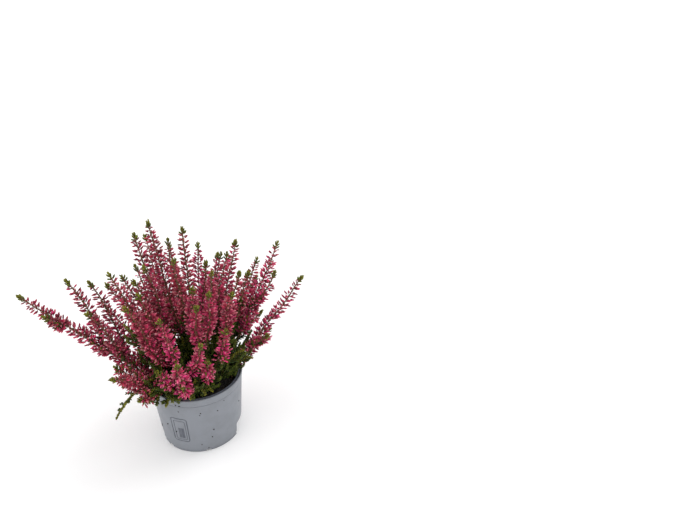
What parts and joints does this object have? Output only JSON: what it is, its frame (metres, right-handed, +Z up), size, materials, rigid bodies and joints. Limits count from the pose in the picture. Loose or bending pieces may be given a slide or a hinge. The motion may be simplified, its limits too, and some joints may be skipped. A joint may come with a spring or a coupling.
{
  "type": "potted heather",
  "caption": "Bud-flowering heather with upright and spreading flower sprays and leafy green shoots, rooted in peat in a round tapered nursery pot.",
  "frame": {"origin": "middle of the flat pad under the pot, on the surface it stands on", "axes": "+Z up along the pot's axis, front towards -Y, +X to the right seen from the front"},
  "size_m": [0.2879, 0.2224, 0.259],
  "materials": {
    "pot_plastic": "grey blue moulded plastic, slightly satin",
    "peat": "dark damp fibrous peat",
    "flower_buds": "closed magenta red buds on reddish brown stems, green ends",
    "heather_leaf": "small olive green scale leaves"
  },
  "bodies": {
    "root": {"pot": "pot_plastic", "peat": "peat", "flower_spray_01": "flower_buds", "flower_spray_02": "flower_buds", "flower_spray_03": "flower_buds", "flower_spray_04": "flower_buds", "flower_spray_05": "flower_buds", "flower_spray_06": "flower_buds", "flower_spray_07": "flower_buds", "flower_spray_08": "flower_buds", "flower_spray_09": "flower_buds", "flower_spray_10": "flower_buds", "flower_spray_11": "flower_buds", "flower_spray_12": "flower_buds", "flower_spray_13": "flower_buds", "flower_spray_14": "flower_buds", "flower_spray_15": "flower_buds", "flower_spray_16": "flower_buds", "flower_spray_17": "flower_buds", "flower_spray_18": "flower_buds", "flower_spray_19": "flower_buds", "leafy_shoot_01": "heather_leaf", "leafy_shoot_02": "heather_leaf", "leafy_shoot_03": "heather_leaf", "leafy_shoot_04": "heather_leaf", "leafy_shoot_05": "heather_leaf", "leafy_shoot_06": "heather_leaf", "leafy_shoot_07": "heather_leaf", "leafy_shoot_08": "heather_leaf", "leafy_shoot_09": "heather_leaf", "leafy_shoot_10": "heather_leaf", "leafy_shoot_11": "heather_leaf", "leafy_shoot_12": "heather_leaf", "leafy_shoot_13": "heather_leaf", "leafy_shoot_14": "heather_leaf", "leafy_shoot_15": "heather_leaf", "leafy_shoot_16": "heather_leaf", "leafy_shoot_17": "heather_leaf", "leafy_shoot_18": "heather_leaf", "leafy_shoot_19": "heather_leaf", "leafy_shoot_20": "heather_leaf", "leafy_shoot_21": "heather_leaf", "leafy_shoot_22": "heather_leaf", "leafy_shoot_23": "heather_leaf", "leafy_shoot_24": "heather_leaf", "leafy_shoot_25": "heather_leaf"}
  },
  "joints": []
}
